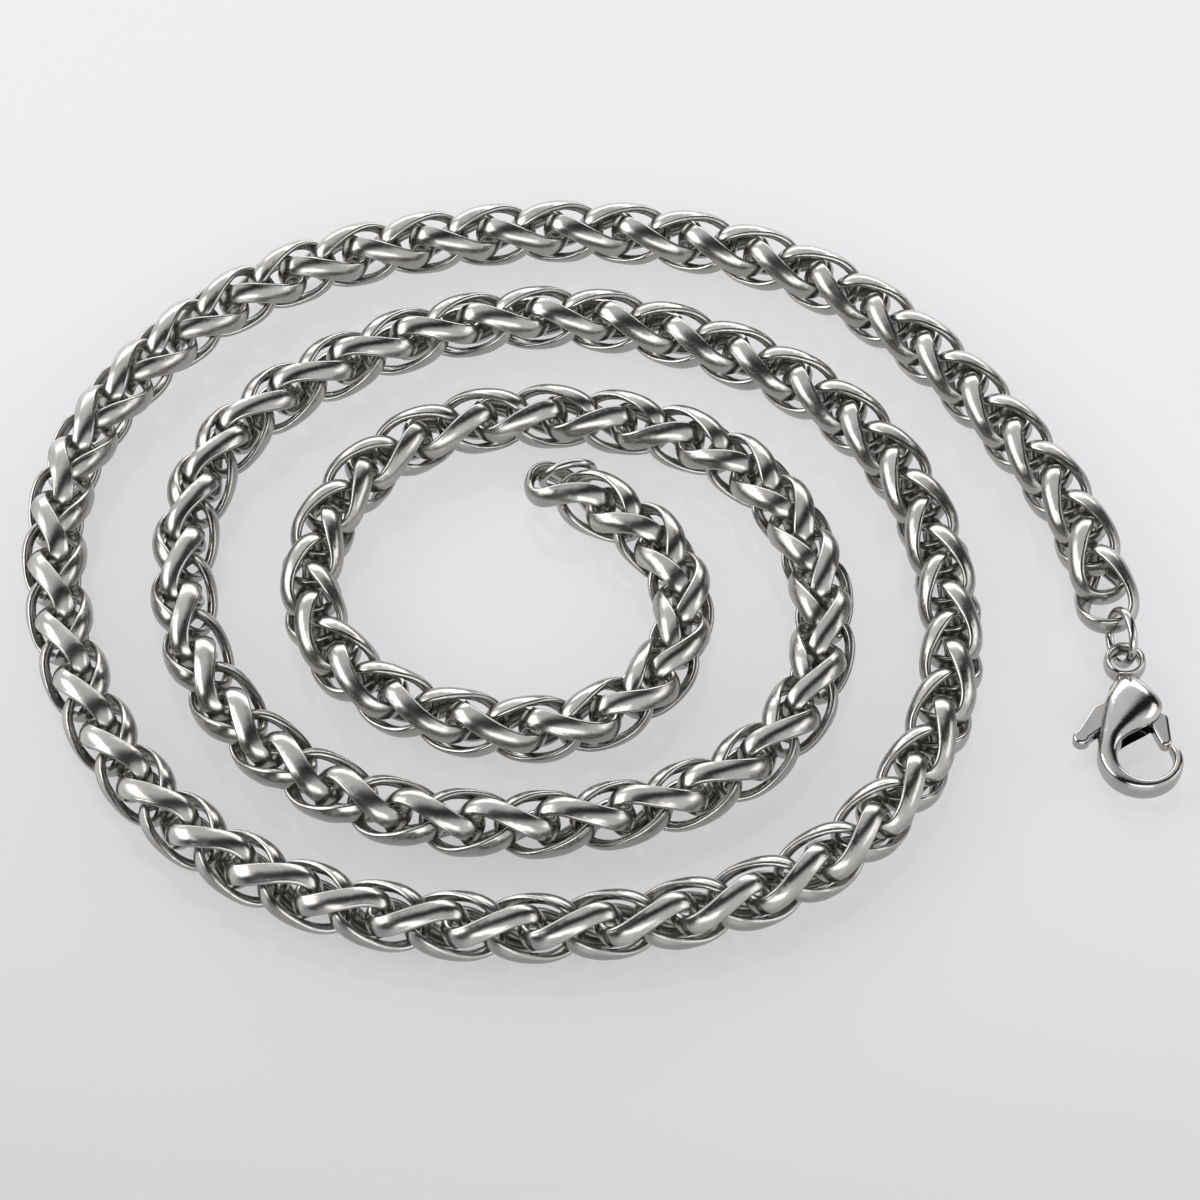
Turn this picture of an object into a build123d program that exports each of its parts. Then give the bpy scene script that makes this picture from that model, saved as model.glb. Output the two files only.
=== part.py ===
from build123d import *
from math import atan2, cos, degrees, radians, sin
import os

os.makedirs("parts", exist_ok=True)

# A wheat chain of twisted oval steel links, laid down in a spiral on a table, with a lobster clasp on
# a jump ring at its outer end and a bare jump ring at its inner end. Millimetres, +Z up, and the
# origin is on the table, under the middle of the whole chain.

# Driving dimensions of the chain.
LINK_COUNT = 183
LINK_STEP = 3.27         # from one link to the next, along the chain
CHAIN_WIDTH = 6.05       # over the links
WIRE_WIDTH = 1.9         # of the flattened wire, measured round the chain
WIRE_THICK = 0.95        # of the flattened wire, measured outwards from the chain's middle
HOOK_PLAY = 0.65         # how far a link can slide before it pulls on the link that it hooks
TWIST = 90.0             # degrees that a link turns round the chain from end to end
BEND_CLOSING = 12.0      # how much shorter a step gets in a bend, per unit of curvature squared

# Driving dimensions of the two jump rings. A ring stands on its edge on the table. Its middle lies at
# an end link: past its outer end, and to its left looking out of the chain. It is turned from the
# link's line about the upright, and it leans over, in degrees.
RING_WIDTH = 5.6
RING_WIRE = 0.8
CLASP_RING_PAST = 0.668
CLASP_RING_ASIDE = 0.434
CLASP_RING_TURN = 96.34
CLASP_RING_LEAN = 12.0
END_RING_PAST = -3.287
END_RING_INSET = 0.375   # from the line of the wire's middle at the chain's side, towards the chain
END_RING_TURN = 130.20
END_RING_LEAN = 12.0

# Driving dimensions of the clasp.
EYE_SLACK = -0.16        # how far the eye's middle is past the middle of the ring's wire
EYE_SWING = 5.0          # degrees from -Y, the way from the ring's middle to the eye
EYE_HOLE = 2.45
EYE_RIM = 0.68           # width of the eye's wall, seen from above
EYE_THICK = 1.8
BULB_REACH = 10.6        # from the middle of the eye to the middle of the hook
BULB_WIDTH = 5.4
BULB_THICK = 3.9
HOOK_HOLE = 4.85
HOOK_WIRE = 1.1          # width of the hook's bottom, seen from above
CLASP_LEAN = 1.9         # degrees, of the clasp's length from -Y
LEVER_THICK = 1.3
LEVER_HUB = 2.1          # width of the lever round its pin
LEVER_ARM = 1.85         # width of the lever where its two arms bend
LEVER_NECK = 1.25        # width of the lever just before its round end for the thumb
LEVER_END = 1.55
LEVER_SOFT = 0.3         # rounding of the lever's edges
GATE_TIP = 1.05
PIN_WIDTH = 0.8
PIN_SEAT = 0.45          # how deep each end of the pin sits in the bulb
SIDE_GAP = 0.15          # clearance between the lever and the bulb
PIN_GAP = 0.05           # clearance round the pin in the lever

# The line of the chain on the table, seen from above, from the clasp to the inner end. The few
# points are chosen by hand, closer together where the spiral is tighter.
ROUTE = [
    (46.1, -3.4), (43.8, 8.6), (38.0, 19.5), (30.7, 29.4), (21.7, 37.8), (10.4, 42.7), (-1.8, 44.4),
    (-14.0, 43.4), (-26.0, 40.5), (-36.5, 34.1), (-44.5, 24.7), (-49.2, 13.4), (-49.1, 1.2),
    (-45.6, -10.7), (-39.3, -21.2), (-29.9, -29.1), (-18.4, -33.6), (-6.2, -34.8), (6.1, -33.6),
    (17.6, -29.3), (26.4, -20.8), (31.0, -9.5), (31.1, 2.8), (27.8, 14.6), (20.1, 24.2), (9.5, 30.3),
    (-2.4, 33.5), (-14.6, 32.0), (-25.7, 26.8), (-34.6, 18.4), (-37.8, 6.6), (-36.2, -5.6),
    (-29.7, -15.9), (-19.4, -22.5), (-7.2, -24.3), (4.9, -22.2), (13.0, -17.9), (18.0, -11.6),
    (20.0, -3.8), (19.2, 4.3), (15.6, 12.3), (9.7, 17.7), (1.9, 20.4), (-7.4, 21.1), (-15.1, 19.4),
    (-21.7, 14.3), (-25.5, 6.6), (-25.6, -1.4), (-22.0, -8.0), (-14.6, -12.6), (-4.2, -14.0),
    (2.9, -11.0), (6.9, -5.0), (7.0, 2.3), (2.9, 8.7), (-6.5, 13.8),
]
ROUTE_STEPS = 24         # short straight steps between two points of the route

# How the chain is rolled about its own line: columns are the link's number and degrees of roll.
ROLL = [
    (0, 0.0),
    (12, -8.0),
    (30, -12.0),
    (40, -30.0),
    (54, -30.0),
    (62, -18.0),
    (80, -10.0),
    (98, 0.0),
    (116, 52.0),
    (138, 70.0),
    (152, 86.0),
    (182, 90.0),
]
# How the links curve with the line where the spiral is tight: columns are the number of the first
# such link and the radius of its curve, where 0 is a straight link.
CURVED_LINKS = [
    (0, 0.0),
    (128, 22.0),
    (148, 18.0),
    (160, 14.5),
    (170, 13.0),
]

# The oval of one link. The stations are the places round half of it where its wire is drawn.
OVAL_ENDS = 2.6          # 2 is an ellipse, and more is squarer
OVAL_SIDES = 2.3
STATIONS = [0, 14, 30, 48, 68, 90, 112, 132, 150, 166, 180]
NUDGE = 0.002            # radians, the small step that gives the wire's heading

# The outline of the flattened wire, as shares of half its thickness and half its width: its domed
# outer face and its rounder inner face end in these edges, and its sides are fullest in between.
OUTER_EDGE = (0.60, 0.75)
INNER_EDGE = (-0.60, 0.60)
FULLEST = 0.15

# The clasp's casting from the eye's neck to the root of the hook. Columns are the place down the clasp
# as a share of BULB_REACH, the left and right edges as shares of BULB_WIDTH, the thickness as a share
# of BULB_THICK, and how square the outline is, where 2 is an ellipse.
BULB_SECTIONS = [
    (0.150, -0.170, 0.170, 0.36, 2.0),
    (0.215, -0.250, 0.240, 0.62, 2.0),
    (0.310, -0.355, 0.375, 0.84, 2.0),
    (0.420, -0.460, 0.510, 0.97, 2.0),
    (0.520, -0.515, 0.535, 1.00, 2.0),
    (0.615, -0.560, 0.450, 0.95, 2.0),
    (0.695, -0.590, 0.260, 0.85, 2.1),
    (0.770, -0.610, -0.020, 0.74, 2.3),
    (0.850, -0.625, -0.240, 0.66, 2.6),
]
# The hook goes on from there round its own middle. Columns are degrees, the width as a share of
# HOOK_WIRE, the thickness as a share of BULB_THICK, and how square the outline is.
HOOK_SECTIONS = [
    (180, 1.60, 0.62, 3.0),
    (215, 1.33, 0.59, 3.0),
    (250, 1.08, 0.56, 3.0),
    (290, 0.93, 0.53, 3.0),
    (330, 0.86, 0.49, 3.0),
    (362, 0.80, 0.44, 2.6),
    (384, 0.62, 0.38, 2.2),
]
OUTLINE_POINTS = 16      # on the outline of one section of the casting
# The room that the lever swings in, seen from above. Columns are shares of BULB_WIDTH and BULB_REACH.
SLOT_OUTLINE = [
    (-1.00, 0.27),
    (1.00, 0.27),
    (1.00, 0.78),
    (0.22, 0.78),
    (0.00, 0.90),
    (-0.20, 0.90),
    (-0.30, 0.765),
    (-1.00, 0.790),
]

HOOK_DEPTH = WIRE_THICK + HOOK_PLAY
LINK_RADIUS = (CHAIN_WIDTH - WIRE_THICK) / 2
LINK_REACH = LINK_STEP + HOOK_DEPTH / 2      # from a link's middle to the middle of its end
LINK_LENGTH = 2 * LINK_REACH + WIRE_THICK
AXIS_HEIGHT = CHAIN_WIDTH / 2
RING_RADIUS = (RING_WIDTH - RING_WIRE) / 2


def power(value, exponent):
    """A power that keeps its sign, for rounded ovals."""
    return abs(value) ** exponent * (1 if value >= 0 else -1)


def oval(angle):
    """The middle of the wire on the flat oval: how far along the chain, and how far out."""
    along = LINK_REACH * power(cos(angle), 2 / OVAL_ENDS)
    out = LINK_RADIUS * power(sin(angle), 2 / OVAL_SIDES)
    return along, out


def turn_at(along):
    """How far round the chain the link has turned there, in radians."""
    return radians(TWIST) * (1 - along / LINK_REACH) / 2


def in_link(along, out, turn, hand, radius):
    """A point of the flat oval, at its place in the twisted and curved link."""
    across, up = hand * out * cos(turn), out * sin(turn)
    if radius == 0:
        return Vector(along, across, up)
    swing, reach = along / radius, radius + across
    return Vector(reach * sin(swing), reach * cos(swing) - radius + LINK_STEP**2 / (2 * radius), up)


def wire_plane(angle, hand, radius):
    """The plane across the wire at one place of the oval. Its x axis points out of the link."""
    before, here, after = oval(angle - NUDGE), oval(angle), oval(angle + NUDGE)
    along, out = after[0] - before[0], after[1] - before[1]
    middle = in_link(*here, turn_at(here[0]), hand, radius)
    outside = in_link(here[0] + out, here[1] - along, turn_at(here[0]), hand, radius)
    ahead = in_link(*after, turn_at(after[0]), hand, radius)
    behind = in_link(*before, turn_at(before[0]), hand, radius)
    return Plane(middle, x_dir=outside - middle, z_dir=ahead - behind)


def wire_section():
    """The flattened wire as four arcs that meet in soft edges, with its thickness along x."""
    side, face = WIRE_THICK / 2, WIRE_WIDTH / 2
    outer_x, outer_y = OUTER_EDGE[0] * side, OUTER_EDGE[1] * face
    inner_x, inner_y = INNER_EDGE[0] * side, INNER_EDGE[1] * face
    return make_face([
        ThreePointArc((outer_x, -outer_y), (side, 0), (outer_x, outer_y)),
        ThreePointArc((outer_x, outer_y), (FULLEST * side, face), (inner_x, inner_y)),
        ThreePointArc((inner_x, inner_y), (-side, 0), (inner_x, -inner_y)),
        ThreePointArc((inner_x, -inner_y), (FULLEST * side, -face), (outer_x, -outer_y)),
    ])


def make_link(hand, radius):
    """One link, lofted round the oval in two halves."""
    halves = []
    for start in (0, 180):
        angles = [radians(start + station) for station in STATIONS]
        halves.append(loft([wire_plane(angle, hand, radius) * wire_section() for angle in angles]))
    return (halves[0] + halves[1]).solid()


def smooth_route():
    """Closely spaced points on a smooth curve through the route, with the distance to each."""
    first, last = Vector(*ROUTE[0]), Vector(*ROUTE[-1])
    points = [Vector(*point) for point in ROUTE]
    points = [2 * first - points[1]] + points + [2 * last - points[-2]]
    curve = []
    for a, b, c, d in zip(points, points[1:], points[2:], points[3:]):
        for step in range(ROUTE_STEPS):
            t = step / ROUTE_STEPS
            bend = a * (-t + 2 * t**2 - t**3) + b * (2 - 5 * t**2 + 3 * t**3)
            curve.append((bend + c * (t + 4 * t**2 - 3 * t**3) + d * (t**3 - t**2)) * 0.5)
    curve.append(last)
    distances = [0.0]
    for a, b in zip(curve, curve[1:]):
        distances.append(distances[-1] + (b - a).length)
    return curve, distances


CURVE, DISTANCES = smooth_route()


def on_route(distance):
    """The point of the route at a distance from the clasp's end, going straight on past its ends."""
    index = 0
    while index < len(DISTANCES) - 2 and DISTANCES[index + 1] < distance:
        index += 1
    share = (distance - DISTANCES[index]) / (DISTANCES[index + 1] - DISTANCES[index])
    return CURVE[index] + (CURVE[index + 1] - CURVE[index]) * share


def curvature(distance):
    """How sharply the route bends there, from three points a step apart."""
    before, here, after = [on_route(distance + side * LINK_STEP) for side in (-1, 0, 1)]
    return (before + after - 2 * here).length / LINK_STEP**2


def roll_at(number):
    """The chain's roll at a link, read from the table."""
    for (first, low), (second, high) in zip(ROLL, ROLL[1:]):
        if number <= second:
            return low + (high - low) * (number - first) / (second - first)
    return ROLL[-1][1]


def curve_at(number):
    """The radius that a link is curved to, read from the table."""
    return [radius for first, radius in CURVED_LINKS if first <= number][-1]


def link_frames():
    """The place of each link: on the chord of its neighbours, rolled as the table says."""
    frames = []
    distance = LINK_LENGTH / 2
    for number in range(LINK_COUNT):
        before, after = on_route(distance - LINK_STEP), on_route(distance + LINK_STEP)
        forward = (after - before).normalized()
        outer = forward.cross(Vector(0, 0, 1))
        roll = radians(roll_at(number))
        up = Vector(0, 0, 1) * cos(roll) + outer * sin(roll)
        middle = (before + after) * 0.5 + Vector(0, 0, AXIS_HEIGHT)
        frames.append(Plane(middle, x_dir=forward, z_dir=forward.cross(up)))
        distance += LINK_STEP - BEND_CLOSING * curvature(distance)**2
    return frames


FRAMES = link_frames()


def make_chain():
    """All links, right-handed and left-handed in turn."""
    shapes = {(hand, radius): make_link(hand, radius) for hand in (1, -1) for _, radius in CURVED_LINKS}
    links = []
    for number, frame in enumerate(FRAMES):
        hand = -1 if number % 2 else 1
        links.append(frame.location * shapes[hand, curve_at(number)])
    return Compound(children=links)


def ring_place(link, outwards, past, aside, turn):
    """Where a ring's middle comes above the table at an end link, and how the ring is turned."""
    beside = Vector(0, 0, 1).cross(outwards)
    middle = link.origin + outwards * (LINK_LENGTH / 2 + past) + beside * aside
    heading = degrees(atan2(outwards.Y, outwards.X))
    return Pos(middle.X, middle.Y) * Rot(0, 0, heading + turn)


def make_ring(lean):
    """A closed ring of round wire that stands on its edge and leans over."""
    height = RING_RADIUS * cos(radians(lean)) + RING_WIRE / 2
    section = Plane.XZ * Pos(RING_RADIUS, 0) * Circle(RING_WIRE / 2)
    return Pos(0, 0, height) * Rot(0, 90 + lean, 0) * revolve(section, Axis.Z)


def cast_section(middle, across, heading, width, thick, square):
    """A rounded outline of the clasp's casting, on the plane whose normal is the heading."""
    points = []
    for step in range(OUTLINE_POINTS):
        angle = radians(step * 360 / OUTLINE_POINTS)
        side, rise = power(cos(angle), 2 / square), power(sin(angle), 2 / square)
        points.append((side * width / 2, rise * thick / 2))
    return Plane(middle, x_dir=across, z_dir=heading) * make_face(Spline(*points, periodic=True))


def clasp_point(across, down):
    """A point of the clasp, from shares of the bulb's width and reach."""
    return Vector(across * BULB_WIDTH, -down * BULB_REACH, BULB_THICK / 2)


HOOK_MIDDLE = clasp_point(0.12, 1.0)
PIVOT = clasp_point(-0.04, 0.415)
TAIL_ELBOW = clasp_point(-0.50, 0.53)
TAIL_END = clasp_point(-0.875, 0.77)
GATE_ELBOW = clasp_point(0.41, 0.62)
GATE_END = clasp_point(0.485, 0.835)


def hook_spot(angle, width):
    """The middle of the hook's wire at an angle round the hook, and the way outwards there."""
    outwards = Vector(cos(radians(angle)), sin(radians(angle)), 0)
    return HOOK_MIDDLE + outwards * (HOOK_HOLE / 2 + width / 2), outwards


def casting():
    """The clasp's body before its slot is cut: neck, bulb and hook in one loft, and the eye."""
    sections = []
    for down, left, right, thick, square in BULB_SECTIONS:
        middle = clasp_point((left + right) / 2, down)
        size = (right - left) * BULB_WIDTH, thick * BULB_THICK
        sections.append(cast_section(middle, (-1, 0, 0), (0, -1, 0), *size, square))
    for angle, width, thick, square in HOOK_SECTIONS:
        size = width * HOOK_WIRE, thick * BULB_THICK
        middle, outwards = hook_spot(angle, size[0])
        heading = Vector(0, 0, 1).cross(outwards)
        sections.append(cast_section(middle, outwards, heading, *size, square))
    body = loft(sections)
    rim_middle = (EYE_HOLE + EYE_RIM) / 2
    rim = Plane.XZ * Pos(rim_middle, BULB_THICK / 2) * Ellipse(EYE_RIM / 2, EYE_THICK / 2)
    return body + revolve(rim, Axis.Z)


def pin_shape(width, length):
    """A round bar through the clasp's pivot."""
    return Pos(PIVOT) * Cylinder(width / 2, length)


def make_body():
    """The casting with its slot, and the two blind holes that hold the pin."""
    corners = [clasp_point(across, down) for across, down in SLOT_OUTLINE]
    outline = make_face(Polyline(*corners, close=True))
    slot = extrude(outline, LEVER_THICK / 2 + SIDE_GAP, both=True)
    holes = pin_shape(PIN_WIDTH, LEVER_THICK + 2 * (SIDE_GAP + PIN_SEAT))
    return casting() - slot - holes


def make_bar(*stations):
    """A flat bar of the lever, stretched round discs of these places and widths."""
    rims = [edge for spot, width in stations for edge in (Pos(spot.X, spot.Y) * Circle(width / 2)).edges()]
    return Pos(0, 0, BULB_THICK / 2) * extrude(make_hull(rims), LEVER_THICK / 2, both=True)


def make_lever():
    """The lever: hub, gate, and tail with its round end, in one flat piece with soft edges."""
    flat = make_bar((PIVOT, LEVER_HUB), (GATE_ELBOW, LEVER_ARM))
    flat += make_bar((GATE_ELBOW, LEVER_ARM), (GATE_END, GATE_TIP))
    flat += make_bar((PIVOT, LEVER_ARM), (TAIL_ELBOW, LEVER_ARM), (TAIL_END, LEVER_NECK))
    flat += Pos(TAIL_END) * Cylinder(LEVER_END / 2, LEVER_THICK)
    rims = flat.faces().sort_by(Axis.Z)
    soft = fillet(rims[0].edges() + rims[-1].edges(), LEVER_SOFT)
    return soft - pin_shape(PIN_WIDTH + 2 * PIN_GAP, BULB_THICK)


first, last = FRAMES[0], FRAMES[-1]
clasp_ring_place = ring_place(first, -first.x_dir, CLASP_RING_PAST, CLASP_RING_ASIDE, CLASP_RING_TURN)
end_ring_aside = END_RING_INSET - LINK_RADIUS
end_ring_place = ring_place(last, last.x_dir, END_RING_PAST, end_ring_aside, END_RING_TURN)
eye_way = Vector(0, -RING_RADIUS - EYE_SLACK).rotate(Axis.Z, EYE_SWING)
eye_spot = clasp_ring_place.position + eye_way
clasp_place = Pos(eye_spot) * Rot(0, 0, CLASP_LEAN)
pieces = {
    "wheat_chain": make_chain(),
    "clasp_jump_ring": clasp_ring_place * make_ring(CLASP_RING_LEAN),
    "end_jump_ring": end_ring_place * make_ring(END_RING_LEAN),
    "clasp_body": clasp_place * make_body(),
    "clasp_lever": clasp_place * make_lever(),
    "clasp_pin": clasp_place * pin_shape(PIN_WIDTH, LEVER_THICK + 2 * (SIDE_GAP + PIN_SEAT)),
}

# The origin moves to the middle of the bottom of the box that holds everything.
boxes = [piece.bounding_box() for piece in pieces.values()]
low = Vector(*[min(getattr(box.min, axis) for box in boxes) for axis in "XYZ"])
high = Vector(*[max(getattr(box.max, axis) for box in boxes) for axis in "XYZ"])
shift = Pos(-(low.X + high.X) / 2, -(low.Y + high.Y) / 2, -low.Z)
for name, piece in pieces.items():
    piece.move(shift)
    export_step(piece, f"parts/{name}.step")
    print(name, len(piece.solids()), "solids", round(piece.volume, 2), "mm3")
print("pivot", (shift * clasp_place * Pos(PIVOT)).position)
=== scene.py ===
# %% [markdown]
# # A wheat chain on a pale table
#
# A wheat chain is made of twisted oval links that hook into each other, so that the chain looks like
# an ear of wheat from every side. This one is about 620 mm long and lies in a spiral. Its shape comes
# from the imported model, which is loaded here as a fixed frame: nothing in it is moved or reshaped. All
# that is left for this lesson is what the eye sees, namely steel, table, light and camera. Lengths are
# in metres.

# %% Load the model
from math import cos, pi, radians, sin

import bmesh
import bpy
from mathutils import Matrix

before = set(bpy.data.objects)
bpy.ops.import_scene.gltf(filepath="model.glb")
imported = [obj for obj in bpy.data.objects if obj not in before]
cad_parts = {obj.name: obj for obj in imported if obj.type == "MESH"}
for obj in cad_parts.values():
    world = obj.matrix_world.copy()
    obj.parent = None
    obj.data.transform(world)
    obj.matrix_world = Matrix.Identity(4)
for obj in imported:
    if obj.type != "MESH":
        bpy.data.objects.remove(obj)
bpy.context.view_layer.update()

for name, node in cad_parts.items():
    print(name, len(node.data.polygons), "triangles")

# %% [markdown]
# ## The camera
#
# The camera comes first, because every later choice is judged through it. A long lens, well away from
# the chain, keeps the far turns of the spiral nearly as wide as the near ones. The lens is worked out
# from the picture's width in pixels, and the camera looks at a point inside the chain's height, not at
# the table.

# %% Set the camera
ELEVATION = radians(53.3206)
DISTANCE = 0.365
FOCAL_PIXELS = 4059.06
IMAGE_WIDTH = 1200
SENSOR_MM = 36
NEAR_CLIP = 0.01
LOOK_AT = (0.000659, -0.004727, 0.003)

lens = bpy.data.cameras.new("table_camera")
lens.sensor_width = SENSOR_MM
lens.lens = SENSOR_MM * FOCAL_PIXELS / IMAGE_WIDTH
lens.clip_start = NEAR_CLIP
camera = bpy.data.objects.new("table_camera", lens)
bpy.context.collection.objects.link(camera)
camera.location = (
    LOOK_AT[0],
    LOOK_AT[1] - DISTANCE * cos(ELEVATION),
    LOOK_AT[2] + DISTANCE * sin(ELEVATION),
)
camera.rotation_euler = (pi / 2 - ELEVATION, 0, 0)
bpy.context.scene.camera = camera
print("lens", round(lens.lens, 1), "mm")

# %% [markdown]
# ## Sums on sockets
#
# A finish is a small graph of nodes. Written as plain Python sums it stays readable, so this class
# wraps one socket, and each operator on it adds the Math node that does the sum. Every other node comes
# from the one method `node`, which takes its type, its settings and what goes into its sockets.

# %% A socket that can be used in sums
class Signal:
    """One output socket. Sums with it add Math nodes to the same tree."""

    def __init__(self, socket):
        self.socket = socket

    @staticmethod
    def node(tree, kind, settings=None, inputs=None, output=0):
        """Adds a node with its settings, then fills its sockets with values or links."""
        made = tree.nodes.new(kind)
        for key, value in (settings or {}).items():
            setattr(made, key, value)
        for key, value in (inputs or {}).items():
            if isinstance(value, Signal):
                tree.links.new(value.socket, made.inputs[key])
            else:
                made.inputs[key].default_value = value
        return Signal(made.outputs[output]) if made.outputs else None

    def sum_with(self, operation, left, right):
        settings = {"operation": operation}
        return Signal.node(self.socket.id_data, "ShaderNodeMath", settings, {0: left, 1: right})

    def __add__(self, other):
        return self.sum_with("ADD", self, other)

    def __radd__(self, other):
        return self.sum_with("ADD", other, self)

    def __sub__(self, other):
        return self.sum_with("SUBTRACT", self, other)

    def __rsub__(self, other):
        return self.sum_with("SUBTRACT", other, self)

    def __mul__(self, other):
        return self.sum_with("MULTIPLY", self, other)

    def __rmul__(self, other):
        return self.sum_with("MULTIPLY", other, self)


print("sums ready")

# %% [markdown]
# Three short helpers serve both the materials and the world. One starts an empty graph. One tells how
# far a place lies along a direction, which turns a place into a single number. The last one runs
# smoothly from one value to another, so that no edge shows where it starts or ends.

# %% Helpers for graphs of nodes
def empty_graph(owner):
    """Turns on the nodes of a material or a world and clears them."""
    owner.use_nodes = True
    owner.node_tree.nodes.clear()
    return owner.node_tree


def along(tree, place, way):
    """How far a place lies along a way, as one number."""
    settings = {"operation": "DOT_PRODUCT"}
    return Signal.node(tree, "ShaderNodeVectorMath", settings, {0: place, 1: way}, output="Value")


def eased(tree, value, start, end, low, high):
    """Runs smoothly from low to high while the value goes from start to end."""
    settings = {"interpolation_type": "SMOOTHSTEP"}
    inputs = {"Value": value, "From Min": start, "From Max": end, "To Min": low, "To Max": high}
    return Signal.node(tree, "ShaderNodeMapRange", settings, inputs)


print("helpers ready")

# %% [markdown]
# ## Steel
#
# All of the chain is stainless steel, and it reflects the room more than it shows a colour of its own.
# What tells satin links from a polished clasp is the roughness, and how fine the marks in it are. The
# links are tumbled in a barrel: that leaves a soft satin with cloudy patches, faint scuffs and shallow
# waves. The clasp is cast and then polished, so it is smoother, and its waves are longer. The marks
# are noise on the object's own coordinates. Noise swings about one half, so one half is taken off it
# where it only pushes a value up and down.

# %% Marks in the steel
CLOUDS, GRAIN, SCUFFS = 420.0, 5200.0, 900.0      # how many to a metre
SCUFF_STRETCH = (1.0, 6.0, 2.5)
MIDDLE = 0.5


def noise(tree, place, scale, detail, stretch=None):
    """Cloudy noise at a scale per metre, pulled long by a Mapping node where that is asked for."""
    if stretch is not None:
        place = Signal.node(tree, "ShaderNodeMapping", None, {"Vector": place, "Scale": stretch})
    inputs = {"Vector": place, "Scale": scale, "Detail": detail}
    return Signal.node(tree, "ShaderNodeTexNoise", {"noise_dimensions": "3D"}, inputs)


print("clouds", round(1000 / CLOUDS, 1), "mm, scuffs", round(1000 / SCUFFS, 1), "mm")

# %% [markdown]
# One function makes every steel. The clouds mix a light and a dark tone and shift the roughness, and
# the scuffs shift it too. Waves, grain and scuffs add up to a height, which a Bump node turns into a
# slope. The Mix node has a set of sockets for each type of data, so the ones for colours are named by
# their numbers.

# %% Finishes for the steel
MIX_FACTOR, MIX_FIRST, MIX_SECOND, MIX_RESULT = 0, 6, 7, 2


def steel(name, light, dark, rough, cloud, scuff, wave, wave_size, tooth):
    """Steel with cloudy patches, scuffs, soft waves of one size in metres, and a fine tooth."""
    material = bpy.data.materials.new(name)
    tree = empty_graph(material)
    place = Signal.node(tree, "ShaderNodeTexCoord", output="Object")
    patches = noise(tree, place, CLOUDS, detail=3.0)
    grain = noise(tree, place, GRAIN, detail=2.0)
    scratches = noise(tree, place, SCUFFS, detail=4.0, stretch=SCUFF_STRETCH)
    waves = noise(tree, place, 1.0 / wave_size, detail=1.0)
    roughness = rough + (patches - MIDDLE) * cloud + (scratches - MIDDLE) * scuff
    tones = {MIX_FACTOR: patches, MIX_FIRST: dark, MIX_SECOND: light}
    colour = Signal.node(tree, "ShaderNodeMix", {"data_type": "RGBA"}, tones, output=MIX_RESULT)
    height = (waves - MIDDLE) * wave + (grain - MIDDLE) * tooth + (scratches - MIDDLE) * tooth
    relief = {"Strength": 1.0, "Distance": 1.0, "Height": height}
    bump = Signal.node(tree, "ShaderNodeBump", None, relief)
    looks = {"Base Color": colour, "Metallic": 1.0, "Roughness": roughness, "Normal": bump}
    surface = Signal.node(tree, "ShaderNodeBsdfPrincipled", None, looks)
    Signal.node(tree, "ShaderNodeOutputMaterial", None, {"Surface": surface})
    return material


link_steel = steel(
    "tumbled_link_steel", light=(0.46, 0.446, 0.426, 1), dark=(0.28, 0.27, 0.255, 1),
    rough=0.24, cloud=0.10, scuff=0.10, wave=2e-5, wave_size=1.1e-3, tooth=1.5e-6,
)
ring_steel = steel(
    "drawn_wire_steel", light=(0.44, 0.428, 0.41, 1), dark=(0.36, 0.35, 0.334, 1),
    rough=0.17, cloud=0.06, scuff=0.10, wave=1e-5, wave_size=1.5e-3, tooth=1.5e-6,
)
clasp_steel = steel(
    "polished_cast_steel", light=(0.46, 0.447, 0.428, 1), dark=(0.36, 0.35, 0.334, 1),
    rough=0.15, cloud=0.06, scuff=0.08, wave=2e-5, wave_size=2.2e-3, tooth=1e-6,
)
print("finishes:", link_steel.name, ring_steel.name, clasp_steel.name)

# %% [markdown]
# ## Dressing the nodes
#
# Each node of the model keeps its mesh and only changes its material slot. That is the cheapest way to
# a good look, and it keeps what is seen and what was designed the same thing.

# %% Put the steel on
DRESS = {
    "wheat_chain": link_steel,
    "clasp_jump_ring": ring_steel,
    "end_jump_ring": ring_steel,
    "clasp_body": clasp_steel,
    "clasp_lever": clasp_steel,
    "clasp_pin": clasp_steel,
}
for name, finish in DRESS.items():
    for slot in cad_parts[name].material_slots:
        slot.material = finish
    print(name, "wears", finish.name)

# %% [markdown]
# ## The table
#
# The chain lies on a table of translucent white acrylic, as small goods do in a shop's window. One
# large square is enough, because the lens sees only a small part of it.

# %% Cut the table top
TABLE_HALF = 1.5

shape = bmesh.new()
bmesh.ops.create_grid(shape, x_segments=1, y_segments=1, size=TABLE_HALF)
table_mesh = bpy.data.meshes.new("table_top")
shape.to_mesh(table_mesh)
shape.free()
table = bpy.data.objects.new("table_top", table_mesh)
bpy.context.collection.objects.link(table)
print("table", 2 * TABLE_HALF, "m wide")

# %% [markdown]
# The acrylic glows a little, as a table lit from below would. The glow is painted light: emission on
# the top stands in for lamps under it, as no lamp stands there. That keeps shadows faint, and the clear
# skin gives a faint mirror image beside each link. The glow fades smoothly towards the front, and a
# little towards the left, which is painted light fall-off. It is a touch blue, as daylight lamps are.

# %% Paint a glow on the acrylic
GLOW_WAY = (0.25, 1.0, 0.0)
GLOW_NEAR, GLOW_FAR = -0.11, 0.03      # where it starts and ends along that way
GLOW_LOW, GLOW_HIGH = 0.35, 0.57
GLOW_BLUE = 1.015
ACRYLIC_COLOUR = (0.22, 0.22, 0.223, 1)
ACRYLIC_ROUGHNESS = 0.16
ACRYLIC_IOR = 1.45

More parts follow.
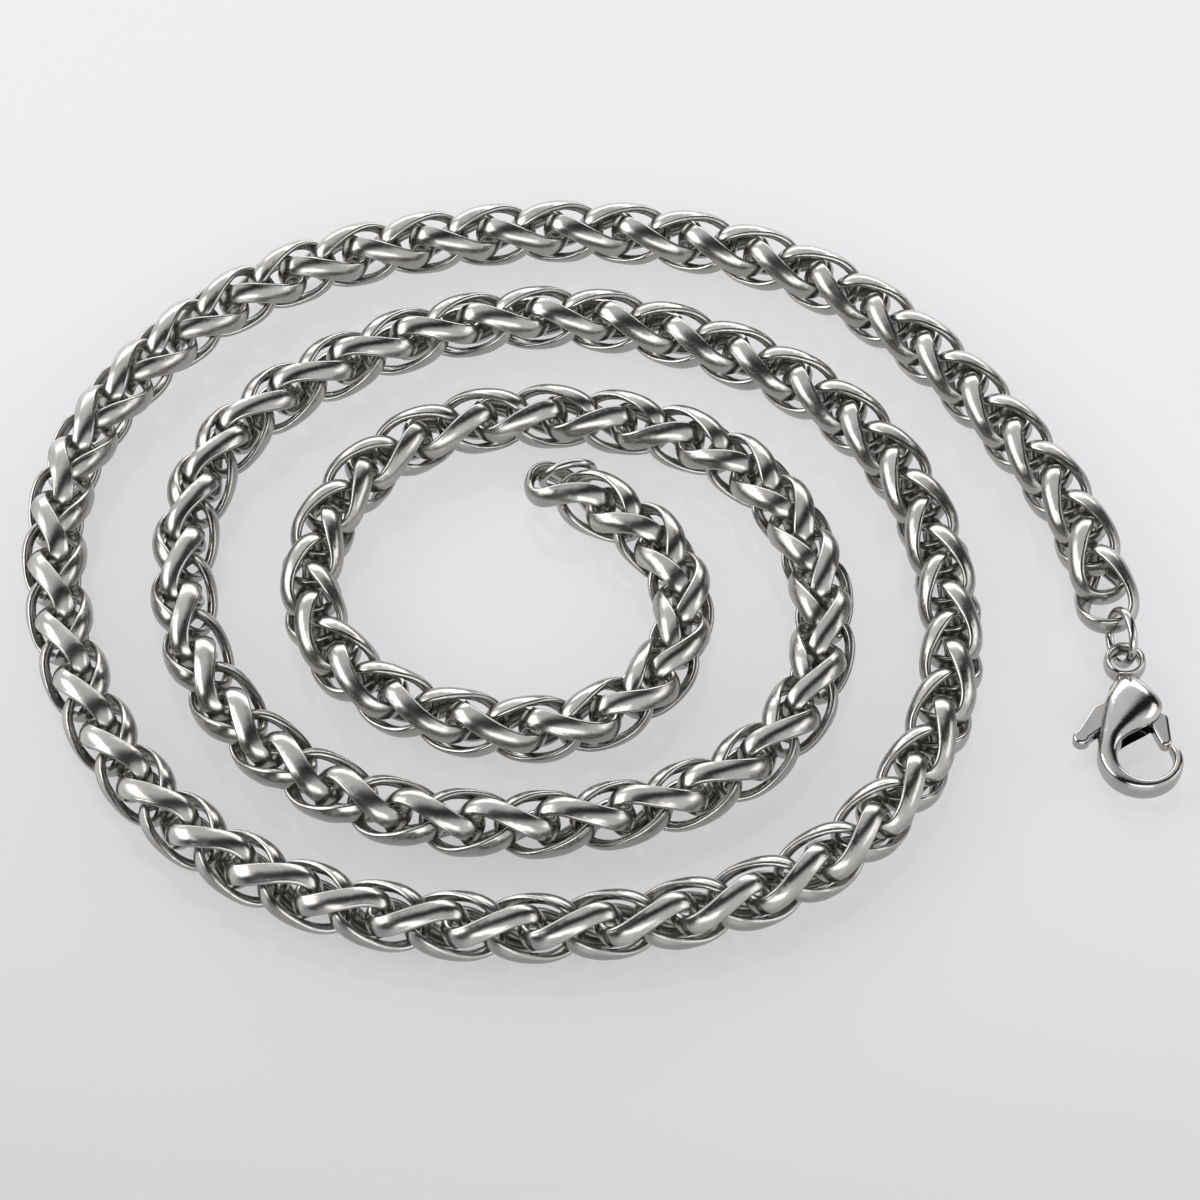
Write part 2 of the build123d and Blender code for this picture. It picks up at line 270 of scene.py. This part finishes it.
acrylic = bpy.data.materials.new("acrylic_painted_glow")
tree = empty_graph(acrylic)
place = Signal.node(tree, "ShaderNodeTexCoord", output="Object")
depth = along(tree, place, GLOW_WAY)
# painted light: the emission stands in for lamps under the table, and its fade towards the front and
# left is painted fall-off
painted_glow = eased(tree, depth, GLOW_NEAR, GLOW_FAR, GLOW_LOW, GLOW_HIGH)
tint = {"Red": painted_glow, "Green": painted_glow, "Blue": painted_glow * GLOW_BLUE}
painted_glow_colour = Signal.node(tree, "ShaderNodeCombineColor", None, tint)
looks = {
    "Base Color": ACRYLIC_COLOUR,
    "Roughness": ACRYLIC_ROUGHNESS,
    "IOR": ACRYLIC_IOR,
    "Emission Color": painted_glow_colour,
    "Emission Strength": 1.0,
}
surface = Signal.node(tree, "ShaderNodeBsdfPrincipled", None, looks)
Signal.node(tree, "ShaderNodeOutputMaterial", None, {"Surface": surface})
table_mesh.materials.append(acrylic)
print("glow from", GLOW_LOW, "to", GLOW_HIGH)

# %% [markdown]
# ## Light
#
# Polished metal is lit by what it mirrors. Large soft panels stand low behind, left, right and in
# front, and they make the bright edges of the links. Their brightness matters more than their power,
# so the power is worked out from it.

# %% Hang the soft panels
def panel(name, place, size, brightness):
    """A soft panel that faces the middle of the table, as bright as asked from every side."""
    light = bpy.data.lights.new(name, "AREA")
    light.shape = "RECTANGLE"
    light.size, light.size_y = size
    light.energy = brightness * pi * size[0] * size[1]
    lamp = bpy.data.objects.new(name, light)
    lamp.location = place
    lamp.rotation_euler = lamp.location.to_track_quat("Z", "Y").to_euler()
    bpy.context.collection.objects.link(lamp)
    print(name, round(light.energy, 2), "W")


panel("back_panel", place=(0.0, 0.85, 0.30), size=(1.3, 0.30), brightness=3.2)
panel("left_panel", place=(-0.75, 0.05, 0.40), size=(0.8, 0.40), brightness=3.6)
panel("right_panel", place=(0.75, 0.05, 0.32), size=(0.6, 0.24), brightness=2.0)
panel("front_panel", place=(0.0, -0.80, 0.42), size=(0.8, 0.34), brightness=2.6)

# %% [markdown]
# Over the table hang two pale cloths, with a wide slot between them. The cloths fill the tops of the
# links with an even grey. The slot runs askew over the table, and the dark behind it draws a dark band
# across the links that mirror it, and the dark curve on the clasp's dome. Here the cloths are the world,
# and the slot is a soft dark strip in it.

# %% Stretch the cloths
CLOTH_BRIGHTNESS = 1.15
CLOTH_COLOUR = (0.97, 0.98, 1.0, 1)
SLOT_BRIGHTNESS = 0.02
SLOT_TILT = radians(5)        # from straight up towards the camera
SLOT_TURN = radians(-40)      # from running left to right
SLOT_HALF, SLOT_SOFT = sin(radians(9)), sin(radians(32))

room = bpy.data.worlds.new("pale_cloths")
tree = empty_graph(room)
sight = Signal.node(tree, "ShaderNodeTexCoord", output="Generated")
across = (sin(SLOT_TURN) * cos(SLOT_TILT), cos(SLOT_TURN) * cos(SLOT_TILT), sin(SLOT_TILT))
beside = along(tree, sight, across)
aside = Signal.node(tree, "ShaderNodeMath", {"operation": "ABSOLUTE"}, {0: beside})
strength = eased(tree, aside, SLOT_HALF, SLOT_SOFT, SLOT_BRIGHTNESS, CLOTH_BRIGHTNESS)
air = Signal.node(tree, "ShaderNodeBackground", None, {"Color": CLOTH_COLOUR, "Strength": strength})
Signal.node(tree, "ShaderNodeOutputWorld", None, {"Surface": air})
bpy.context.scene.world = room
bpy.context.scene.view_settings.view_transform = "Standard"
print("cloths", CLOTH_BRIGHTNESS, "slot", SLOT_BRIGHTNESS)

# %% [markdown]
# ## Finish
#


print("finished")
